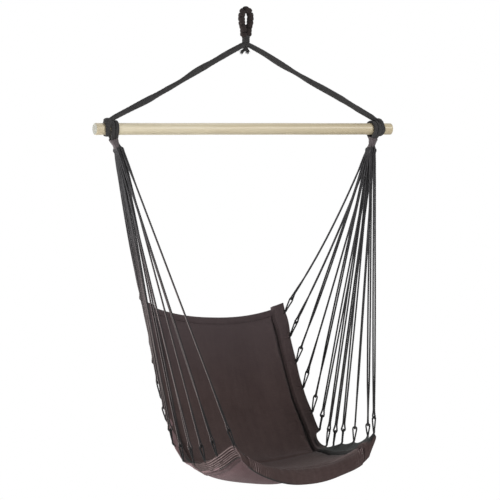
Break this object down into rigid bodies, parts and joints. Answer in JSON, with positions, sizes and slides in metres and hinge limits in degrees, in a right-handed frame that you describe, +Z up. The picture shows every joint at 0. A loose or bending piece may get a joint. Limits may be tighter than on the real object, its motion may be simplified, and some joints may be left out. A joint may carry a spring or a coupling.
{
  "type": "hammock chair",
  "caption": "Hanging rope chair: hitched rope eye, bridle, wooden spreader bar, fans of doubled cords and a padded cloth seat laced along both side hems.",
  "frame": {"origin": "hang point: the inside of the top of the rope eye, where a hook carries the chair", "axes": "+Z up, X along the spreader bar, and a sitter faces -Y"},
  "size_m": [0.99, 0.6599, 1.3974],
  "materials": {
    "rope": "charcoal soft-laid cotton blend rope, matt",
    "cord": "charcoal twisted cord, matt",
    "binding": "mauve grey whipping round the cord bundles, matt",
    "wood": "pale varnished wood, satin",
    "cloth": "espresso woven canvas, padded, matt"
  },
  "bodies": {
    "hanger": {"hanging_loop": "rope"},
    "throat": {"throat_binding": "rope"},
    "knot": {"crotch_knot": "rope"},
    "bridle": {"tail_left": "rope", "tail_right": "rope", "spreader_bar": "wood", "bridle_left": "rope", "bridle_right": "rope"},
    "seat": {"sling_left_inner": "rope", "sling_left_outer": "rope", "neck_left": "binding", "crown_left": "cord", "cord_left_01": "cord", "cord_left_02": "cord", "cord_left_03": "cord", "cord_left_04": "cord", "cord_left_05": "cord", "cord_left_06": "cord", "cord_left_07": "cord", "cord_left_08": "cord", "cord_left_09": "cord", "cord_left_10": "cord", "cord_left_11": "cord", "cord_left_12": "cord", "lacing_left": "cord", "hem_left": "cloth", "sling_right_inner": "rope", "sling_right_outer": "rope", "neck_right": "binding", "crown_right": "cord", "cord_right_01": "cord", "cord_right_02": "cord", "cord_right_03": "cord", "cord_right_04": "cord", "cord_right_05": "cord", "cord_right_06": "cord", "cord_right_07": "cord", "cord_right_08": "cord", "cord_right_09": "cord", "cord_right_10": "cord", "cord_right_11": "cord", "cord_right_12": "cord", "lacing_right": "cord", "hem_right": "cloth", "seat_pad": "cloth", "front_band": "cloth", "top_hem": "cloth"}
  },
  "joints": [
    {"name": "swivel", "type": "hinge", "parent": "hanger", "child": "throat", "pos_m": [0, 0, -0.0702], "axis": [0, 0, 1], "range_deg": [-90, 90]},
    {"name": "side_sway", "type": "hinge", "parent": "throat", "child": "knot", "pos_m": [0, 0, -0.092], "axis": [0, 1, 0], "range_deg": [-12, 12]},
    {"name": "swing", "type": "hinge", "parent": "knot", "child": "bridle", "pos_m": [0, 0, -0.092], "axis": [1, 0, 0], "range_deg": [-30, 30]},
    {"name": "seat_swing", "type": "hinge", "parent": "bridle", "child": "seat", "pos_m": [0, 0, -0.347], "axis": [1, 0, 0], "range_deg": [-30, 30]}
  ]
}
